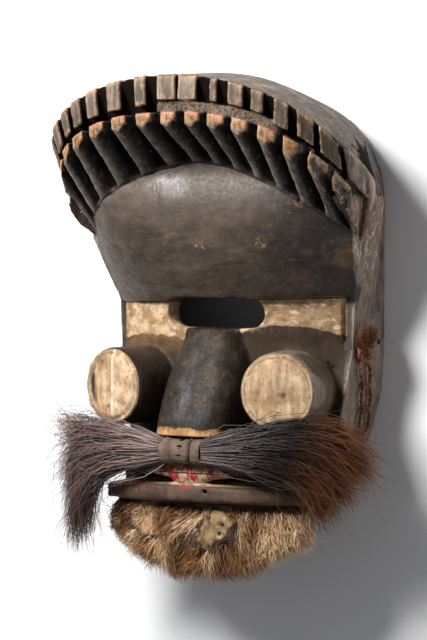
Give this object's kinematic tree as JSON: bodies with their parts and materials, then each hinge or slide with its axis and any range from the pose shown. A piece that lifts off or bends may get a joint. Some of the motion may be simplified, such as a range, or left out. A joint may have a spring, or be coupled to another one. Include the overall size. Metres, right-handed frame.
{
  "type": "carved wooden face mask",
  "caption": "Hollow carved wooden face mask with a toothed crest, tubular eyes, an eye slot, a bound hair moustache and a fur beard.",
  "frame": {"origin": "under the middle of the whole object's box, at the height of the back rim", "axes": "+Z out of the face, +Y towards the crest, +X to the viewer's right; the mask lies on its back rim"},
  "size_m": [0.271, 0.3744, 0.1449],
  "materials": {
    "wood": "dark patina, worn edges, kaolin and red paint in places",
    "hair": "coarse animal hair, grey-brown to orange-brown",
    "hide": "dry brown hide",
    "fur": "tan and brown fur on dry hide",
    "fibre": "twisted plant fibre"
  },
  "bodies": {
    "root": {"mask_body": "wood", "moustache_hair": "hair", "moustache_band": "hide", "beard_hide": "fur", "side_cord": "fibre"}
  },
  "joints": []
}
